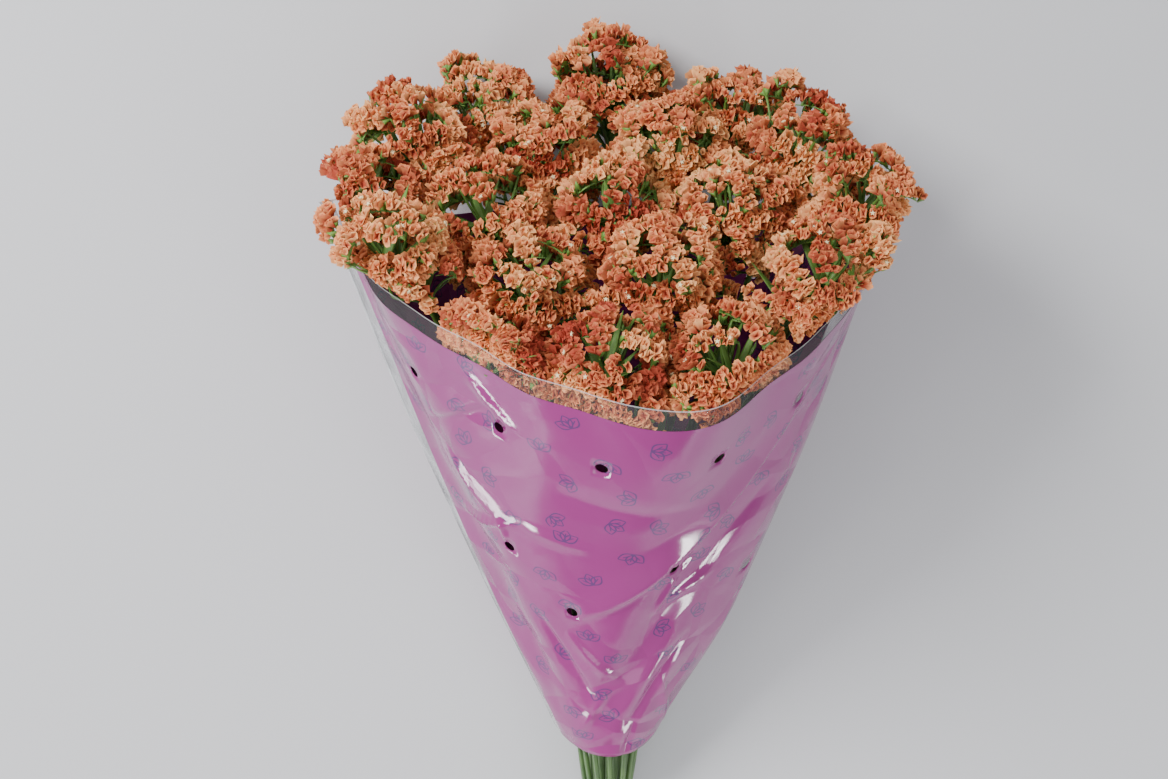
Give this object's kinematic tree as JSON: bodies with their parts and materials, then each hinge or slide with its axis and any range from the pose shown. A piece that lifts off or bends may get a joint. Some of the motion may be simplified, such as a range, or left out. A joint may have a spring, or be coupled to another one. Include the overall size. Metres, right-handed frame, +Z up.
{
  "type": "sleeved flower bunch",
  "caption": "Bunch of papery comb-shaped statice flower heads on winged stems in a tapered clear-edged film sleeve, laid on its back.",
  "frame": {"origin": "on the surface the bunch lies on, under the middle of its bounding box", "axes": "+Z up, +Y from the cut stem ends towards the flowers, +X to the right seen from the stem ends"},
  "size_m": [0.5044, 0.856, 0.3938],
  "materials": {
    "film": "glossy translucent lilac film with clear side margins and top edge",
    "calyx": "dry papery apricot calyces with paler ruffled edges",
    "stem": "matt green plant stem",
    "band": "tan rubber band"
  },
  "bodies": {
    "root": {"sleeve": "film", "tie_band": "band", "stem_01": "stem", "stem_02": "stem", "stem_03": "stem", "stem_04": "stem", "stem_05": "stem", "stem_06": "stem", "stem_07": "stem", "stem_08": "stem", "stem_09": "stem", "stem_10": "stem", "stem_11": "stem", "stem_12": "stem", "stem_13": "stem", "stem_14": "stem", "stem_15": "stem", "stem_16": "stem", "stem_17": "stem", "stem_18": "stem", "stem_19": "stem", "flower_head_01": "calyx", "flower_head_02": "calyx", "flower_head_03": "calyx", "flower_head_04": "calyx", "flower_head_05": "calyx", "flower_head_06": "calyx", "flower_head_07": "calyx", "flower_head_08": "calyx", "flower_head_09": "calyx", "flower_head_10": "calyx", "flower_head_11": "calyx", "flower_head_12": "calyx", "flower_head_13": "calyx", "flower_head_14": "calyx", "flower_head_15": "calyx", "flower_head_16": "calyx", "flower_head_17": "calyx", "flower_head_18": "calyx", "flower_head_19": "calyx"}
  },
  "joints": []
}
